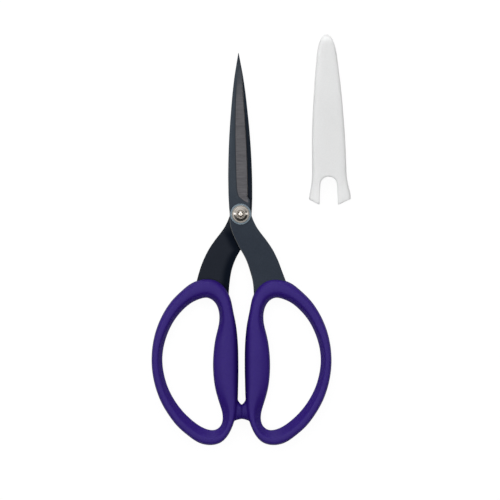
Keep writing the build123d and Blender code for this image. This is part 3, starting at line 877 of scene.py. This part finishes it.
def mat_guard(name):
    m = Mat(name)
    v = m.coords()
    big = m.noise(v, 45, 4, 0.5)
    fine = m.noise(v, 1500, 4, 0.65)
    col = m.ramp(big, [(0.3, (0.80, 0.805, 0.805)), (0.7, (0.83, 0.835, 0.835))])
    tint = m.ramp(fine, [(0.3, (0.97, 0.97, 0.97)), (0.7, (1.02, 1.02, 1.02))])
    col = m.mix(1.0, col, tint, "MULTIPLY")
    m.link(col, m.p.inputs["Base Color"])
    m.p.inputs["Subsurface Weight"].default_value = 0.6
    m.p.inputs["Subsurface Radius"].default_value = (1.0, 1.0, 1.0)
    m.p.inputs["Subsurface Scale"].default_value = 0.003
    m.p.inputs["Specular IOR Level"].default_value = 0.4
    m.link(m.rng(fine, 0.3, 0.7, 0.36, 0.50), m.p.inputs["Roughness"])
    m.link(m.bump(fine, 0.00002, 0.35), m.p.inputs["Normal"])
    return m.m


# -------------------------------------------------------------------- assembly
def give(ob, mat, body, slot, *nodes):
    ob.data.materials.clear()
    ob.data.materials.append(mat)
    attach(ob, body)
    if nodes:
        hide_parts(*nodes)


steel = mat_steel("coated_steel")
grip = mat_grip("soft_touch_purple")
nickel = mat_nickel("nickel_plate", 1.2)
nickel_nut = mat_nickel("nickel_plate_nut", 0.60, (0.13, 0.21))
clear = mat_clear("clear_washer")

give(build_blade("blade_front", +1), steel, "front_half", "coated_steel", "front_blade")
give(build_blade("blade_rear", -1), steel, "rear_half", "coated_steel", "rear_blade")
give(build_grip("grip_front", +1), grip, "front_half", "soft_grip", "front_handle_grip")
give(build_grip("grip_rear", -1), grip, "rear_half", "soft_grip", "rear_handle_grip")
give(build_guard("guard_shell"), mat_guard("guard_plastic"), "guard", "guard_plastic",
     "blade_guard")
pv = build_pivot()
give(pv["nut_domed"], nickel_nut, "rear_half", "nickel", "pivot_nut")
give(pv["screw_slotted"], nickel, "tension_screw", "nickel", "pivot_screw")
give(pv["washer_clear"], clear, "rear_half", "clear_washer", "front_washer")
give(pv["washer_centre"], clear, "rear_half", "clear_washer", "centre_washer")
give(pv["washer_rear"], clear, "rear_half", "clear_washer", "rear_washer")
give(pv["washer_spring"], mat_spring("spring_steel"), "rear_half", "spring_steel",
     "spring_washer")
core_mat = mat_core("core_plastic")
for nm in ("front_handle_core", "rear_handle_core"):
    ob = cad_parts[nm]
    ob.data.materials.clear()
    ob.data.materials.append(core_mat)

# ----------------------------------------------------------------------- stage
fm = bpy.data.meshes.new("floor")
q = 1.6
fm.from_pydata([(-q, -q, -0.0002), (q, -q, -0.0002), (q, q, -0.0002), (-q, q, -0.0002)],
               [], [(0, 1, 2, 3)])
floor = bpy.data.objects.new("floor", fm)
bpy.context.scene.collection.objects.link(floor)
mf = Mat("floor_white")
mf.set(Roughness=0.9)
mf.p.inputs["Base Color"].default_value = (0.72, 0.72, 0.72, 1)
mf.p.inputs["Specular IOR Level"].default_value = 0.0
# The sweep is burnt out to white, with only a trace of shadow left in it.
seen = mf.node("ShaderNodeBsdfDiffuse")
seen.inputs["Color"].default_value = (0.09, 0.09, 0.09, 1)
glow = mf.node("ShaderNodeEmission")
glow.inputs["Color"].default_value = (1, 1, 1, 1)
glow.inputs["Strength"].default_value = 0.94
both = mf.node("ShaderNodeAddShader")
mf.link(seen.outputs[0], both.inputs[0])
mf.link(glow.outputs[0], both.inputs[1])
lp = mf.node("ShaderNodeLightPath")
pick = mf.node("ShaderNodeMixShader")
mf.link(lp.outputs["Is Camera Ray"], pick.inputs[0])
mf.link(mf.p.outputs[0], pick.inputs[1])
mf.link(both.outputs[0], pick.inputs[2])
mf.link(pick.outputs[0], mf.nt.nodes["Material Output"].inputs["Surface"])
fm.materials.append(mf.m)

w = bpy.data.worlds.new("studio")
bpy.context.scene.world = w
w.use_nodes = True
nt = w.node_tree
bg = nt.nodes["Background"]


def wnode(kind, **kw):
    n = nt.nodes.new(kind)
    for k, v in kw.items():
        setattr(n, k, v)
    return n


def wdot(vec, d):
    n = wnode("ShaderNodeVectorMath", operation="DOT_PRODUCT")
    nt.links.new(vec, n.inputs[0])
    n.inputs[1].default_value = tuple(Vector(d).normalized())
    return n.outputs["Value"]


def wrange(v, a, b, c, d, smooth=False):
    n = wnode("ShaderNodeMapRange")
    if smooth:
        n.interpolation_type = "SMOOTHSTEP"
    for i, k in enumerate((a, b, c, d)):
        n.inputs[i + 1].default_value = k
    nt.links.new(v, n.inputs[0])
    return n.outputs[0]


def wmul(a, b):
    n = wnode("ShaderNodeMath", operation="MULTIPLY")
    nt.links.new(a, n.inputs[0])
    nt.links.new(b, n.inputs[1])
    return n.outputs[0]


tc = wnode("ShaderNodeTexCoord")
dirv = tc.outputs["Generated"]
# A wide soft box overhead, tilted back, with a dimmer patch where the camera
# hangs and dark surroundings below it.
box = wrange(wdot(dirv, (-0.04, 0.11, 0.985)), 0.64, 0.865, 0.03, 2.55, True)
hole = wrange(wdot(dirv, (0.0, 0.02, 1.0)), 0.86, 0.94, 1.0, 0.305, True)
nt.links.new(wmul(box, hole), bg.inputs["Strength"])
bg.inputs["Color"].default_value = (1, 1, 1, 1)


def area(name, loc, target, size, power, shape="RECTANGLE", sy=None):
    d = bpy.data.lights.new(name, "AREA")
    d.shape = shape
    d.size = size
    d.size_y = sy or size
    d.energy = power
    o = bpy.data.objects.new(name, d)
    bpy.context.scene.collection.objects.link(o)
    o.location = loc
    o.rotation_euler = (Vector(target) - Vector(loc)).to_track_quat("-Z", "Y").to_euler()
    return o


area("strip_left", (-0.62, 0.04, 0.44), (0, 0, 0), 0.14, 0.56, sy=0.34)
area("strip_right", (0.62, 0.04, 0.44), (0, 0, 0), 0.14, 0.42, sy=0.34)
area("strip_back", (-0.08, 0.70, 0.24), (0, 0, 0), 0.42, 1.60, sy=0.12)

cam_d = bpy.data.cameras.new("camera")
cam_d.type = "ORTHO"
cam_d.ortho_scale = 0.2430
cam_d.clip_end = 10
cam = bpy.data.objects.new("camera", cam_d)
bpy.context.scene.collection.objects.link(cam)
cam.location = (0.00454, -0.01745, 0.6)
bpy.context.scene.camera = cam
bpy.context.scene.view_settings.view_transform = "Standard"
bpy.context.scene.view_settings.look = "None"
